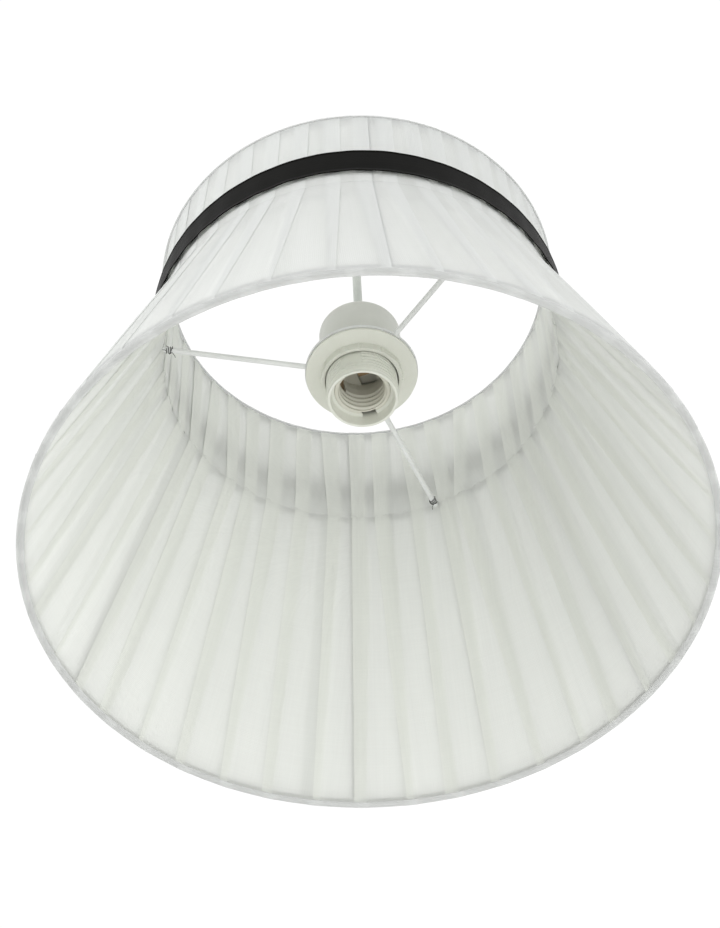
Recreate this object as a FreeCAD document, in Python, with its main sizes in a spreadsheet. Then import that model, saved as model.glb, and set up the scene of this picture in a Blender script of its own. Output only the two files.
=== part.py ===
"""Pleated pendant lamp shade on a wire frame, with its lampholder, cord and ceiling fitting.

All sizes are in millimetres. Heights are measured upwards from the shade's bottom rim, and every
object is then lowered by the hanging height, so that the ceiling face lies at Z = 0.
"""
import FreeCAD, Part
import math
import os
import Sketcher

SIZES = {
    # shade outline
    "hang_height": 378,            # ceiling face above the bottom rim
    "rim_radius": 175,             # cover at the bottom rim, outside
    "waist_radius": 116.5,         # cover at the waist, outside
    "top_radius": 112,             # cover at the top edge, outside
    "waist_height": 170,           # where the flared skirt becomes the collar
    "shade_height": 243,
    # fabric, thicker where the pleats are gathered
    "cover_rim_cloth": 1.1,
    "cover_waist_cloth": 1.8,
    "cover_top_cloth": 1.5,
    "lining_rim_radius": 170.3,    # lining, outside
    "lining_waist_radius": 108.8,
    "lining_top_radius": 107.3,
    "lining_rim_cloth": 0.9,
    "lining_cloth": 1.4,
    "lining_top_cloth": 1.2,
    "lining_rim_height": 0.6,
    "lining_top_height": 242.5,
    "gore_count": 12,
    # wire frame
    "ring_wire": 1.5,              # wire radius of the three rings
    "strut_wire": 1.25,
    "strut_count": 6,
    "strut_start": 35,             # azimuth of the first strut, degrees
    "bottom_ring_radius": 171.4,
    "bottom_ring_height": 2.2,
    "waist_ring_radius": 110.9,
    "arm_height": 166,             # level of the waist ring, where the spider arms end
    "hub_height": 160,             # level of the arms at the hub, a little lower
    "top_ring_radius": 108.9,
    "top_ring_height": 240.8,
    "strut_waist_radius": 113.3,
    "strut_waist_height": 169,
    "strut_bend": 12,
    # ribbon and bindings
    "ribbon_bottom": 178.3,
    "ribbon_width": 22,
    "ribbon_cloth": 0.5,
    "ribbon_gap": 0.15,
    "tape_cloth": 0.5,
    "tape_gap": 0.2,
    # spider
    "arm_count": 3,
    "arm_start": 69,
    "arm_wire": 1.5,
    "arm_inner": 25,
    "hub_radius": 30.9,
    "hub_bore": 20,
    "hub_plate": 1.6,
    "slit_radius": 1.9,
    "slit_start": 95,
    "slit_length": 30,
    "lashing_radius": 2.6,
    "lashing_bore": 1.55,
    "lashing_start": 103.6,
    "lashing_length": 2.8,
    # lampholder
    "over_cut": 1,                 # how far a cutting tool reaches past the material
    "cap_radius": 22.6,
    "cap_wall": 1.8,
    "cap_bottom": 160.4,
    "cap_top": 199,
    "cap_dome": 6,
    "grip_thread": 5,
    "holder_thread": 19.6,
    "holder_neck": 19.2,
    "holder_bore": 17.3,
    "holder_mouth": 134.7,
    "mouth_relief": 0.3,
    "thread_clear": 0.3,
    "holder_top": 176,
    "holder_floor": 142,
    "holder_floor_plate": 2,
    "notch_width": 8.4,
    "notch_depth": 1.6,
    "notch_turn": 78,              # azimuth of the notch in the floor
    "sleeve_radius": 15.1,
    "lamp_bore": 13.3,
    "sleeve_bottom": 141.8,
    "sleeve_top": 167,
    "sleeve_step": 161.6,          # above this the sleeve is bored out for the contacts
    "sleeve_counterbore": 14.2,
    "block_top": 178,
    "block_step": 172,
    "block_gap": 0.1,
    "ring_radius": 30.5,
    "ring_bore": 19.85,
    "ring_rim": 22.6,
    "ring_rim_bottom": 150.8,
    "ring_flange_bottom": 155.8,
    "ring_flange_edge": 156.7,
    "ring_top": 158.2,
    "ring_facets": 12,
    # contacts and terminals
    "contact_strip": 0.6,
    "contact_width": 6,
    "contact_reach": 9,
    "contact_height": 162.4,
    "contact_leg": 8.5,
    "leg_gap": 0.4,
    "contact_turn": 72,            # azimuth of the centre contact and of its channel
    "channel_width": 9.4,
    "channel_depth": 4,
    "strip_gap": 0.1,
    "side_strip_height": 155,
    "side_strip_top": 170,
    "strip_turn": -30,             # turns the side contact round from the -X side
    "terminal_side": 6,
    "terminal_depth": 5,
    "terminal_base": 1,
    "terminal_offset": 7.5,
    "terminal_screw": 1.5,
    "terminal_head": 2.4,
    "terminal_head_height": 1.6,
    # cord and its grips
    "cord_radius": 2.5,
    "cord_bottom": 192,
    "cord_top": 348,
    "core_radius": 0.95,
    "core_gap": 1.2,               # between the sheath's end and the bare cores
    "core_spread": 1.15,
    "core_skew": 0.2,
    "core_foot_out": 5.5,
    "core_foot_side": 4.4,
    "core_foot": 184.1,
    "mains_core_out": 3.6,
    "mains_core_side": 1.5,
    "mains_core_end": 8.1,
    "mains_core_top": 359,
    "grip_bottom": 193.5,
    "grip_flange": 7.5,
    "grip_collar": 6.5,
    "collar_chamfer": 1,
    "grip_top": 209.5,
    "grip_screw_radius": 1.5,
    "grip_screw_length": 4.6,
    "grip_screw_height": 205,
    # ceiling fitting
    "cup_radius": 34,
    "cup_wall": 1.8,
    "cup_bottom": 328,
    "cup_rim": 375,
    "cup_round": 9,
    "cup_nut_radius": 8,
    "cup_nut": 3,
    "cup_collar": 7,
    "cup_collar_bottom": 318,
    "cup_slide_gap": 0.3,
    "cup_screw_height": 323,
    "bracket_length": 54,
    "bracket_width": 15,
    "bracket_plate": 2,
    "bracket_hole": 2.25,
    "bracket_hole_offset": 20,
    "hook_wire": 1.5,
    "hook_bend": 5,
    "hook_centre_drop": 12,
    "hook_tip": 3,
    "hanger_radius": 6.5,
    "hanger_top": 352,
    "hanger_bottom": 338,
    "eye_radius": 5.2,
    "eye_hole": 2.4,
    "eye_plate": 3,
    "block_length": 18,
    "block_width": 10,
    "block_height": 12,
    "block_bottom": 355,
    "block_inner": 9,
    "block_screw": 1.6,
    "block_screw_spacing": 9,
    "block_row_spacing": 4,
    "block_screw_length": 4,
    "block_well": 4.5,
}

doc = FreeCAD.newDocument("pendant_shade")
sizes = doc.addObject("Spreadsheet::Sheet", "sizes")
for row, (alias, number) in enumerate(SIZES.items(), start=1):
    sizes.set("A%d" % row, alias)
    sizes.set("B%d" % row, str(number))
    sizes.setAlias("B%d" % row, alias)
doc.recompute()

UP = FreeCAD.Vector(0, 0, 1)
pieces = []


def size(alias):
    """The number in one cell of the sheet."""
    return float(sizes.get(alias))


def bind(item, **expressions):
    """Bind properties of an object to the sheet; a bare word in braces is an alias."""
    for name, expression in expressions.items():
        item.setExpression(name, expression)
    return item


def cell(formula):
    """Turn a formula in bare aliases into an expression on the sheet."""
    words = formula.replace("(", " ( ").replace(")", " ) ").split()
    return " ".join("sizes." + word if word in SIZES else word for word in words)


def number(formula):
    """The value of such a formula."""
    return float(sizes.evalExpression(cell(formula)))


def lower(item):
    """Lower an object built above the rim, so that the ceiling face is at Z = 0."""
    item.setExpression("Placement.Base.z", "-sizes.hang_height")
    return item


def piece(item, label):
    """Finish one sub-part: its own name, and its place below the ceiling."""
    item.Label = label
    lower(item)
    pieces.append(item)
    return item


def raise_to(item, formula):
    """Set the height of a primitive."""
    item.setExpression("Placement.Base.z", cell(formula))
    return item


def cylinder(name, radius, height, bottom):
    item = doc.addObject("Part::Cylinder", name)
    bind(item, Radius=cell(radius), Height=cell(height))
    return raise_to(item, bottom)


def box(name, corner, spans):
    """A box from its lowest corner and its three lengths, all as formulas."""
    item = doc.addObject("Part::Box", name)
    bind(item, Length=cell(spans[0]), Width=cell(spans[1]), Height=cell(spans[2]))
    for axis, formula in zip("xyz", corner):
        item.setExpression("Placement.Base." + axis, cell(formula))
    return item


def torus(name, radius, wire, height):
    item = doc.addObject("Part::Torus", name)
    bind(item, Radius1=cell(radius), Radius2=cell(wire))
    return raise_to(item, height)


def cut(name, base, tool):
    item = doc.addObject("Part::Cut", name)
    item.Base = base
    item.Tool = tool
    return item


def fuse(name, shapes):
    item = doc.addObject("Part::MultiFuse", name)
    item.Shapes = shapes
    return item


def group(name, shapes):
    item = doc.addObject("Part::Compound", name)
    item.Links = shapes
    return item


def radial_rod(name, radius, start, length, height, azimuth):
    """A round rod that points outwards along one azimuth."""
    item = doc.addObject("Part::Cylinder", name)
    bind(item, Radius=cell(radius), Height=cell(length))
    turn = math.radians(azimuth)
    outwards = FreeCAD.Vector(math.cos(turn), math.sin(turn), 0)
    base = outwards * number(start) + UP * number(height)
    item.Placement = FreeCAD.Placement(base, FreeCAD.Rotation(UP, outwards))
    return item


def arm_rod(name, radius, start, length, azimuth):
    """A round rod along a spider arm, which climbs from the hub to the waist ring.

    start and length are measured outwards from the axis, not along the slope."""
    climb = (size("arm_height") - size("hub_height")) / (size("waist_ring_radius") - size("arm_inner"))
    item = radial_rod(name, radius, start, length, "hub_height", azimuth)
    turn = math.radians(azimuth)
    slope = FreeCAD.Vector(math.cos(turn), math.sin(turn), climb)
    item.setExpression("Height", None)
    item.Height = number(length) * slope.Length
    base = FreeCAD.Vector(math.cos(turn), math.sin(turn), 0) * number(start)
    base += UP * (size("hub_height") + climb * (number(start) - size("arm_inner")))
    item.Placement = FreeCAD.Placement(base, FreeCAD.Rotation(UP, slope))
    return item


def revolved(label, outline):
    """A PartDesign body turned about Z from an outline of (radius, height) formulas."""
    body = doc.addObject("PartDesign::Body", label + "_body")
    sketch = body.newObject("Sketcher::SketchObject", label + "_outline")
    plane = [f for f in body.Origin.OriginFeatures if f.Role == "XZ_Plane"][0]
    sketch.AttachmentSupport = [(plane, "")]
    sketch.MapMode = "FlatFace"
    corners = [FreeCAD.Vector(number(r), number(z), 0) for r, z in outline]
    count = len(corners)
    for index in range(count):
        sketch.addGeometry(Part.LineSegment(corners[index], corners[(index + 1) % count]), False)
    for index in range(count):
        sketch.addConstraint(Sketcher.Constraint("Coincident", index, 2, (index + 1) % count, 1))
    for index, (radius, height) in enumerate(outline):
        across = Sketcher.Constraint("DistanceX", -1, 1, index, 1, corners[index].x)
        up = Sketcher.Constraint("DistanceY", -1, 1, index, 1, corners[index].y)
        for kind, constraint, formula in (("r", across, radius), ("z", up, height)):
            place = sketch.addConstraint(constraint)
            sketch.renameConstraint(place, "%s%d" % (kind, index))
            sketch.setExpression("Constraints.%s%d" % (kind, index), cell(formula))
    turned = body.newObject("PartDesign::Revolution", label + "_turned")
    turned.Profile = sketch
    turned.ReferenceAxis = (sketch, ["V_Axis"])
    turned.Angle = 360
    doc.recompute()
    return body


def rounded(body, label, radius, height, formula):
    """Round the circular edge of a body that lies at one radius and height."""
    base = body.Tip
    wanted = []
    for index, edge in enumerate(base.Shape.Edges, start=1):
        curve = edge.Curve
        if isinstance(curve, Part.Circle) and abs(curve.Radius - number(radius)) < 0.01:
            if abs(curve.Center.z - number(height)) < 0.01:
                wanted.append("Edge%d" % index)
    fillet = body.newObject("PartDesign::Fillet", label + "_round")
    fillet.Base = (base, wanted)
    fillet.setExpression("Radius", cell(formula))
    doc.recompute()
    return body


def bent_rod(name, points, bends, radius):
    """A round rod along straight runs joined by tangent arcs, as one solid."""
    edges = []
    start = points[0]
    for index, bend in enumerate(bends, start=1):
        before = (points[index - 1] - points[index]).normalize()
        after = (points[index + 1] - points[index]).normalize()
        half = (math.pi - before.getAngle(after)) / 2
        setback = bend * math.tan(half)
        first = points[index] + before * setback
        last = points[index] + after * setback
        inwards = (before + after).normalize()
        centre = points[index] + inwards * (bend / math.cos(half))
        middle = centre - inwards * bend
        edges.append(Part.LineSegment(start, first).toShape())
        edges.append(Part.Arc(first, middle, last).toShape())
        start = last
    edges.append(Part.LineSegment(start, points[-1]).toShape())
    path = Part.Wire(edges)
    along = (points[1] - points[0]).normalize()
    section = Part.Wire([Part.Circle(points[0], along, radius).toShape()])
    item = doc.addObject("Part::Feature", name)
    item.Shape = path.makePipeShell([section], True, False)
    return item


def turned_about_z(item, azimuth):
    item.Placement.Rotation = FreeCAD.Rotation(UP, azimuth)
    return item


# ---- wire frame of the shade -------------------------------------------------------------

def build_rings():
    rings = {}
    for name in ("bottom", "waist", "top"):
        height = "arm_height" if name == "waist" else name + "_ring_height"
        ring = torus(name + "_ring_wire", name + "_ring_radius", "ring_wire", height)
        rings[name] = ring
        piece(group(name + "_ring_piece", [ring]), name + "_ring")
    return rings


def build_struts(rings):
    """Bent wires welded between the bottom and top rings, outside the waist ring."""
    points = [
        FreeCAD.Vector(size("bottom_ring_radius"), 0, size("bottom_ring_height")),
        FreeCAD.Vector(size("strut_waist_radius"), 0, size("strut_waist_height")),
        FreeCAD.Vector(size("top_ring_radius"), 0, size("top_ring_height")),
    ]
    ends = fuse("strut_ends", [rings["bottom"], rings["top"]])
    for index in range(int(size("strut_count"))):
        rod = bent_rod("strut_rod_%d" % (index + 1), points, [size("strut_bend")], size("strut_wire"))
        azimuth = size("strut_start") + index * 360 / size("strut_count")
        rod.Placement = FreeCAD.Placement(FreeCAD.Vector(), FreeCAD.Rotation(UP, azimuth))
        strut = cut("strut_cut_%d" % (index + 1), rod, ends)
        piece(strut, "strut_%d" % (index + 1))


# ---- fabric ------------------------------------------------------------------------------

def cone(name, low_radius, high_radius, low, high):
    item = doc.addObject("Part::Cone", name)
    bind(item, Radius1=cell(low_radius), Radius2=cell(high_radius), Height=cell("%s - %s" % (high, low)))
    return raise_to(item, low)


def gored_shell(label, low, high, outer, inner, slits=()):
    """A pleated tube of cloth as gores that meet edge to edge; slits let the spider arms through."""
    inside = cone(label + "_inside", inner[0], inner[1], low, high)
    gores = []
    span = 360 / size("gore_count")
    for index in range(int(size("gore_count"))):
        azimuth = size("strut_start") + index * span
        wedge = cone("%s_wedge_%d" % (label, index), outer[0], outer[1], low, high)
        wedge.setExpression("Angle", "360 / sizes.gore_count")
        turned_about_z(wedge, azimuth)
        gore = cut("%s_gore_%d" % (label, index), wedge, inside)
        for turn, slit in slits:
            if (turn - azimuth) % 360 < span:
                gore = cut("%s_slit_%d" % (label, index), gore, slit)
        gores.append(gore)
    return piece(group(label + "_gores", gores), label)


def build_cloth():
    slits = []
    for index in range(int(size("arm_count"))):
        azimuth = size("arm_start") + index * 360 / size("arm_count")
        slit = arm_rod("slit_%d" % index, "slit_radius", "slit_start", "slit_length", azimuth)
        slits.append((azimuth, slit))
    gored_shell("cover_skirt", "0", "waist_height", ("rim_radius", "waist_radius"),
                ("rim_radius - cover_rim_cloth", "waist_radius - cover_waist_cloth"))
    gored_shell("cover_collar", "waist_height", "shade_height", ("waist_radius", "top_radius"),
                ("waist_radius - cover_waist_cloth", "top_radius - cover_top_cloth"))
    gored_shell("lining_skirt", "lining_rim_height", "arm_height",
                ("lining_rim_radius", "lining_waist_radius"),
                ("lining_rim_radius - lining_rim_cloth", "lining_waist_radius - lining_cloth"), slits)
    gored_shell("lining_collar", "arm_height", "lining_top_height",
                ("lining_waist_radius", "lining_top_radius"),
                ("lining_waist_radius - lining_cloth", "lining_top_radius - lining_top_cloth"), slits)


def build_trim():
    """The satin ribbon round the waist, and the tapes that close the two edges."""
    slope = "( waist_radius - top_radius ) / ( shade_height - waist_height )"
    foot = "waist_radius - ( ribbon_bottom - waist_height ) * %s + ribbon_gap" % slope
    head = "%s - ribbon_width * %s" % (foot, slope)
    ribbon = revolved("ribbon", [
        (foot, "ribbon_bottom"),
        (foot + " + ribbon_cloth", "ribbon_bottom"),
        (head + " + ribbon_cloth", "ribbon_bottom + ribbon_width"),
        (head, "ribbon_bottom + ribbon_width"),
    ])
    piece(ribbon, "waist_ribbon")
    tapes = {
        "bottom_binding": ("lining_rim_radius + tape_gap", "rim_radius - cover_rim_cloth - tape_gap", "0"),
        "top_binding": ("lining_top_radius + tape_gap", "top_radius - cover_top_cloth - tape_gap",
                        "shade_height - tape_cloth"),
    }
    for label, (inner, outer, bottom) in tapes.items():
        disc = cylinder(label + "_disc", outer, "tape_cloth", bottom)
        hole = cylinder(label + "_hole", inner, "tape_cloth", bottom)
        piece(cut(label + "_cut", disc, hole), label)


# ---- spider ------------------------------------------------------------------------------

def build_spider(rings):
    """Three wire arms from the waist ring to the flat hub that the lampholder clamps."""
    low = "hub_height - arm_wire"
    plate = cylinder("hub_disc", "hub_radius", "hub_plate", low)
    bore = cylinder("hub_hole", "hub_bore", "hub_plate", low)
    hub = cut("hub_cut", plate, bore)
    ends = fuse("arm_ends", [hub, rings["waist"]])
    piece(group("hub_piece", [hub]), "spider_hub")
    for index in range(int(size("arm_count"))):
        azimuth = size("arm_start") + index * 360 / size("arm_count")
        rod = arm_rod("arm_rod_%d" % (index + 1), "arm_wire", "arm_inner",
                      "waist_ring_radius - arm_inner", azimuth)
        piece(cut("arm_cut_%d" % (index + 1), rod, ends), "spider_arm_%d" % (index + 1))
        wrap = arm_rod("wrap_%d" % (index + 1), "lashing_radius", "lashing_start",
                       "lashing_length", azimuth)
        core = arm_rod("wrap_bore_%d" % (index + 1), "lashing_bore", "lashing_start",
                       "lashing_length", azimuth)
        piece(cut("lashing_cut_%d" % (index + 1), wrap, core), "arm_lashing_%d" % (index + 1))


# ---- lampholder --------------------------------------------------------------------------

def build_cap():
    inside = "cap_radius - cap_wall"
    cap = revolved("cap", [
        (inside, "cap_bottom"),
        ("cap_radius", "cap_bottom"),
        ("cap_radius", "cap_top"),
        ("grip_thread", "cap_top"),
        ("grip_thread", "cap_top - cap_wall"),
        (inside, "cap_top - cap_wall"),
    ])
    rounded(cap, "cap_outer", "cap_radius", "cap_top", "cap_dome")
    rounded(cap, "cap_inner", inside, "cap_top - cap_wall", "cap_dome - cap_wall")
    piece(cap, "holder_cap")


def build_holder():
    """The outer skirt, threaded outside for the shade ring, with a floor round the lamp thread."""
    lip = "holder_bore + mouth_relief"
    floor_top = "holder_floor + holder_floor_plate"
    floor_bore = "sleeve_radius + block_gap"
    skirt = revolved("holder", [
        (lip, "holder_mouth"),
        ("holder_thread", "holder_mouth"),
        ("holder_thread", "cap_bottom - thread_clear"),
        ("holder_neck", "cap_bottom - thread_clear"),
        ("holder_neck", "holder_top"),
        ("holder_bore", "holder_top"),
        ("holder_bore", floor_top),
        (floor_bore, floor_top),
        (floor_bore, "holder_floor"),
        (lip, "holder_floor"),
    ])
    notch = box("notch", (floor_bore + " - over_cut", "0 - notch_width / 2", "holder_floor - over_cut"),
                ("notch_depth + over_cut", "notch_width", "holder_floor_plate + 2 * over_cut"))
    turned = turned_about_z(group("notch_turned", [notch]), size("notch_turn"))
    piece(cut("holder_cut", skirt, turned), "holder_skirt")


def build_sleeve():
    """The inner sleeve that carries the lamp thread, with a window for the side contact."""
    tube = cylinder("sleeve_tube", "sleeve_radius", "sleeve_top - sleeve_bottom", "sleeve_bottom")
    bore = cylinder("sleeve_bore", "lamp_bore", "sleeve_top - sleeve_bottom", "sleeve_bottom")
    window = box("sleeve_window",
                 ("0 - sleeve_radius - over_cut", "0 - contact_width / 2 - 2 * strip_gap",
                  "side_strip_height - over_cut"),
                 ("sleeve_radius - lamp_bore + 3 * over_cut", "contact_width + 4 * strip_gap",
                  "sleeve_top - side_strip_height + over_cut"))
    wide = cylinder("sleeve_wide", "sleeve_counterbore", "sleeve_top - sleeve_step", "sleeve_step")
    open_tube = cut("sleeve_open", tube, fuse("sleeve_bores", [bore, wide]))
    turned = turned_about_z(group("window_turned", [window]), size("strip_turn"))
    piece(cut("sleeve_cut", open_tube, turned), "thread_sleeve")


def build_contacts():
    """The insulating block with its two brass contacts, terminals and screws."""
    block = revolved("block", [
        ("0", "sleeve_top + block_gap"),
        ("sleeve_radius", "sleeve_top + block_gap"),
        ("sleeve_radius", "block_step"),
        ("holder_bore - 2 * strip_gap", "block_step"),
        ("holder_bore - 2 * strip_gap", "block_top"),
        ("0", "block_top"),
    ])
    leg_slot = box("leg_slot", ("0 - contact_reach / 2 - leg_gap", "0 - contact_width / 2 - leg_gap",
                                "sleeve_top"),
                   ("contact_strip + 2 * leg_gap", "contact_width + 2 * leg_gap", "contact_leg"))
    side_slot = box("side_slot", ("0 - lamp_bore - contact_strip - 2 * strip_gap",
                                  "0 - contact_width / 2 - strip_gap", "sleeve_top"),
                    ("contact_strip + 3 * strip_gap", "contact_width + 2 * strip_gap",
                     "side_strip_top - sleeve_top + over_cut"))
    channel = box("channel", ("0 - sleeve_radius - over_cut", "0 - channel_width / 2", "sleeve_top"),
                  ("2 * sleeve_radius + 2 * over_cut", "channel_width", "channel_depth"))
    middle = turned_about_z(group("channel_turned", [leg_slot, channel]), size("contact_turn"))
    side = turned_about_z(group("side_slot_turned", [side_slot]), size("strip_turn"))
    slots = fuse("block_slots", [middle, side])
    piece(cut("block_cut", block, slots), "contact_block")

    pad = box("pad", ("0 - contact_reach / 2", "0 - contact_width / 2", "contact_height"),
              ("contact_reach", "contact_width", "contact_strip"))
    leg = box("leg", ("0 - contact_reach / 2", "0 - contact_width / 2", "contact_height"),
              ("contact_strip", "contact_width", "contact_leg"))
    piece(turned_about_z(fuse("tongue", [pad, leg]), size("contact_turn")), "centre_contact")

    strip = box("strip", ("0 - lamp_bore - contact_strip - strip_gap", "0 - contact_width / 2",
                          "side_strip_height"),
                ("contact_strip", "contact_width", "side_strip_top - side_strip_height"))
    piece(turned_about_z(group("strip_piece", [strip]), size("strip_turn")), "side_contact")

    heads = []
    for name, side in (("live", 1), ("neutral", -1)):
        corner = "%s * terminal_offset - terminal_side / 2" % ("1" if side > 0 else "( 0 - 1 )")
        post = box("post_" + name, (corner, "0 - terminal_side / 2", "block_top"),
                   ("terminal_side", "terminal_side", "terminal_depth"))
        shank = cylinder("shank_" + name, "terminal_screw", "terminal_depth - terminal_base",
                         "block_top + terminal_base")
        head = cylinder("head_" + name, "terminal_head", "terminal_head_height",
                        "block_top + terminal_depth")
        screw = fuse("screw_" + name, [shank, head])
        screw.Placement.Base = FreeCAD.Vector(side * size("terminal_offset"), 0, 0)
        heads.append(screw)
        piece(cut("post_cut_" + name, post, screw), "terminal_" + name)
    piece(group("terminal_screw_group", heads), "terminal_screws")


def build_shade_ring():
    """The retaining ring: a wide flange with a faceted finger rim, bored for the holder's thread."""
    flange = revolved("flange", [
        ("ring_bore", "ring_flange_bottom"),
        ("ring_rim", "ring_flange_bottom"),
        ("ring_radius", "ring_flange_edge"),
        ("ring_radius", "ring_top"),
        ("ring_bore", "ring_top"),
    ])
    rim = doc.addObject("Part::Prism", "finger_rim")
    bind(rim, Polygon="sizes.ring_facets", Circumradius="sizes.ring_rim",
         Height=cell("ring_flange_bottom - ring_rim_bottom"))
    raise_to(rim, "ring_rim_bottom")
    bore = cylinder("rim_bore", "ring_bore", "ring_flange_bottom - ring_rim_bottom", "ring_rim_bottom")
    facets = cut("finger_rim_cut", rim, bore)
    piece(fuse("shade_ring_fuse", [flange, facets]), "shade_ring")


def build_cord_grip():
    """The nipple that holds the cord in the cap, and its small radial screw."""
    flange_top = "cap_top - cap_wall"
    grip = revolved("grip", [
        ("cord_radius", "grip_bottom"),
        ("grip_flange", "grip_bottom"),
        ("grip_flange", flange_top),
        ("grip_thread", flange_top),
        ("grip_thread", "cap_top"),
        ("grip_collar", "cap_top"),
        ("grip_collar", "grip_top - collar_chamfer"),
        ("grip_collar - collar_chamfer", "grip_top"),
        ("cord_radius", "grip_top"),
    ])
    screw = radial_rod("grip_screw_rod", "grip_screw_radius", "cord_radius", "grip_screw_length",
                       "grip_screw_height", 0)
    piece(cut("grip_cut", grip, screw), "cord_grip")
    piece(group("grip_screw_piece", [screw]), "cord_grip_screw")


# ---- cord --------------------------------------------------------------------------------

def core(label, start, end):
    """One insulated core as a short straight lead between two points."""
    item = doc.addObject("Part::Cylinder", label + "_lead")
    item.setExpression("Radius", "sizes.core_radius")
    item.Height = (end - start).Length
    item.Placement = FreeCAD.Placement(start, FreeCAD.Rotation(UP, end - start))
    piece(group(label + "_piece", [item]), label)


def build_cord():
    """The flex is pulled straight by the shade, so it is one straight run."""
    flex = cylinder("flex", "cord_radius", "cord_top - cord_bottom", "cord_bottom")
    piece(group("flex_piece", [flex]), "cord")
    print("cord: one straight run, no bends, length %.1f" % (size("cord_top") - size("cord_bottom")))
    sheath_end = size("cord_bottom") - size("core_gap")
    hanger_end = size("hanger_top") + size("core_gap")
    for name, side in (("live", 1), ("neutral", -1)):
        start = FreeCAD.Vector(side * size("core_spread"), -side * size("core_skew"), sheath_end)
        end = FreeCAD.Vector(side * size("core_foot_out"), -side * size("core_foot_side"), size("core_foot"))
        core("core_" + name, start, end)
        start = FreeCAD.Vector(side * size("mains_core_out"), size("mains_core_side"), hanger_end)
        end = FreeCAD.Vector(side * size("block_screw_spacing") / 2, size("mains_core_end"),
                             size("mains_core_top"))
        core("mains_core_" + name, start, end)


# ---- ceiling fitting ---------------------------------------------------------------------

def build_bracket():
    """The strap that is screwed to the ceiling, and the hook that the cord hangs from."""
    top = "hang_height - bracket_plate"
    strap = box("strap", ("0 - bracket_length / 2", "0 - bracket_width / 2", top),
                ("bracket_length", "bracket_width", "bracket_plate"))
    holes = []
    for side in (-1, 1):
        hole = cylinder("strap_hole_%d" % side, "bracket_hole", "bracket_plate", top)
        hole.Placement.Base.x = side * size("bracket_hole_offset")
        holes.append(hole)
    shank_hole = cylinder("hook_hole", "hook_wire", "bracket_plate", top)
    shank_hole.Placement.Base.x = size("hook_bend")
    piece(cut("strap_cut", strap, fuse("strap_holes", holes + [shank_hole])), "ceiling_bracket")

    centre = size("hang_height") - size("hook_centre_drop")
    bend = size("hook_bend")
    first = FreeCAD.Vector(bend, 0, centre)
    last = FreeCAD.Vector(-bend, 0, centre)
    edges = [
        Part.LineSegment(FreeCAD.Vector(bend, 0, size("hang_height")), first).toShape(),
        Part.Arc(first, FreeCAD.Vector(0, 0, centre - bend), last).toShape(),
        Part.LineSegment(last, last + UP * size("hook_tip")).toShape(),
    ]
    section = Part.Wire([Part.Circle(FreeCAD.Vector(bend, 0, size("hang_height")), UP,
                                     size("hook_wire")).toShape()])
    hook = doc.addObject("Part::Feature", "hook_wire_bent")
    hook.Shape = Part.Wire(edges).makePipeShell([section], True, False)
    piece(group("hook_piece", [hook]), "ceiling_hook")


def build_hanger():
    """The strain relief clamped on the cord, with an eye that swings on the hook."""
    eye_level = "hang_height - hook_centre_drop - hook_bend"
    barrel = cylinder("hanger_barrel", "hanger_radius", "hanger_top - hanger_bottom", "hanger_bottom")
    stalk = box("eye_stalk", ("0 - eye_plate / 2", "0 - eye_radius", "hanger_top"),
                ("eye_plate", "2 * eye_radius", eye_level + " - hanger_top"))
    across = FreeCAD.Rotation(UP, FreeCAD.Vector(1, 0, 0))
    discs = []
    for name, radius in (("eye_disc", "eye_radius"), ("eye_hole", "eye_hole")):
        disc = doc.addObject("Part::Cylinder", name + "_round")
        bind(disc, Radius=cell(radius), Height="sizes.eye_plate")
        start = FreeCAD.Vector(-size("eye_plate") / 2, 0, number(eye_level))
        disc.Placement = FreeCAD.Placement(start, across)
        discs.append(disc)
    flex_hole = cylinder("hanger_bore", "cord_radius", "cord_top - hanger_bottom", "hanger_bottom")
    solid = fuse("hanger_solid", [barrel, stalk, discs[0]])
    openings = fuse("hanger_openings", [discs[1], flex_hole])
    piece(cut("hanger_cut", solid, openings), "cord_hanger")


def build_terminal_block():
    """The two-pole connector beside the hook, with two screws for each pole."""
    block = box("connector", ("0 - block_length / 2", "block_inner", "block_bottom"),
                ("block_length", "block_width", "block_height"))
    middle = size("block_inner") + size("block_width") / 2
    foot = "block_bottom + block_height - block_well"
    screws, wells = [], []
    for place, (side, row) in enumerate(((-1, -1), (-1, 1), (1, -1), (1, 1)), start=1):
        screw = cylinder("connector_screw_%d" % place, "block_screw", "block_screw_length", foot)
        well = cylinder("connector_well_%d" % place, "block_screw", "block_well", foot)
        for item in (screw, well):
            item.Placement.Base.x = side * size("block_screw_spacing") / 2
            item.Placement.Base.y = middle + row * size("block_row_spacing") / 2
        screws.append(screw)
        wells.append(well)
    piece(cut("connector_cut", block, fuse("connector_wells", wells)), "terminal_block")
    piece(group("connector_screws", screws), "terminal_block_screws")


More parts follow.
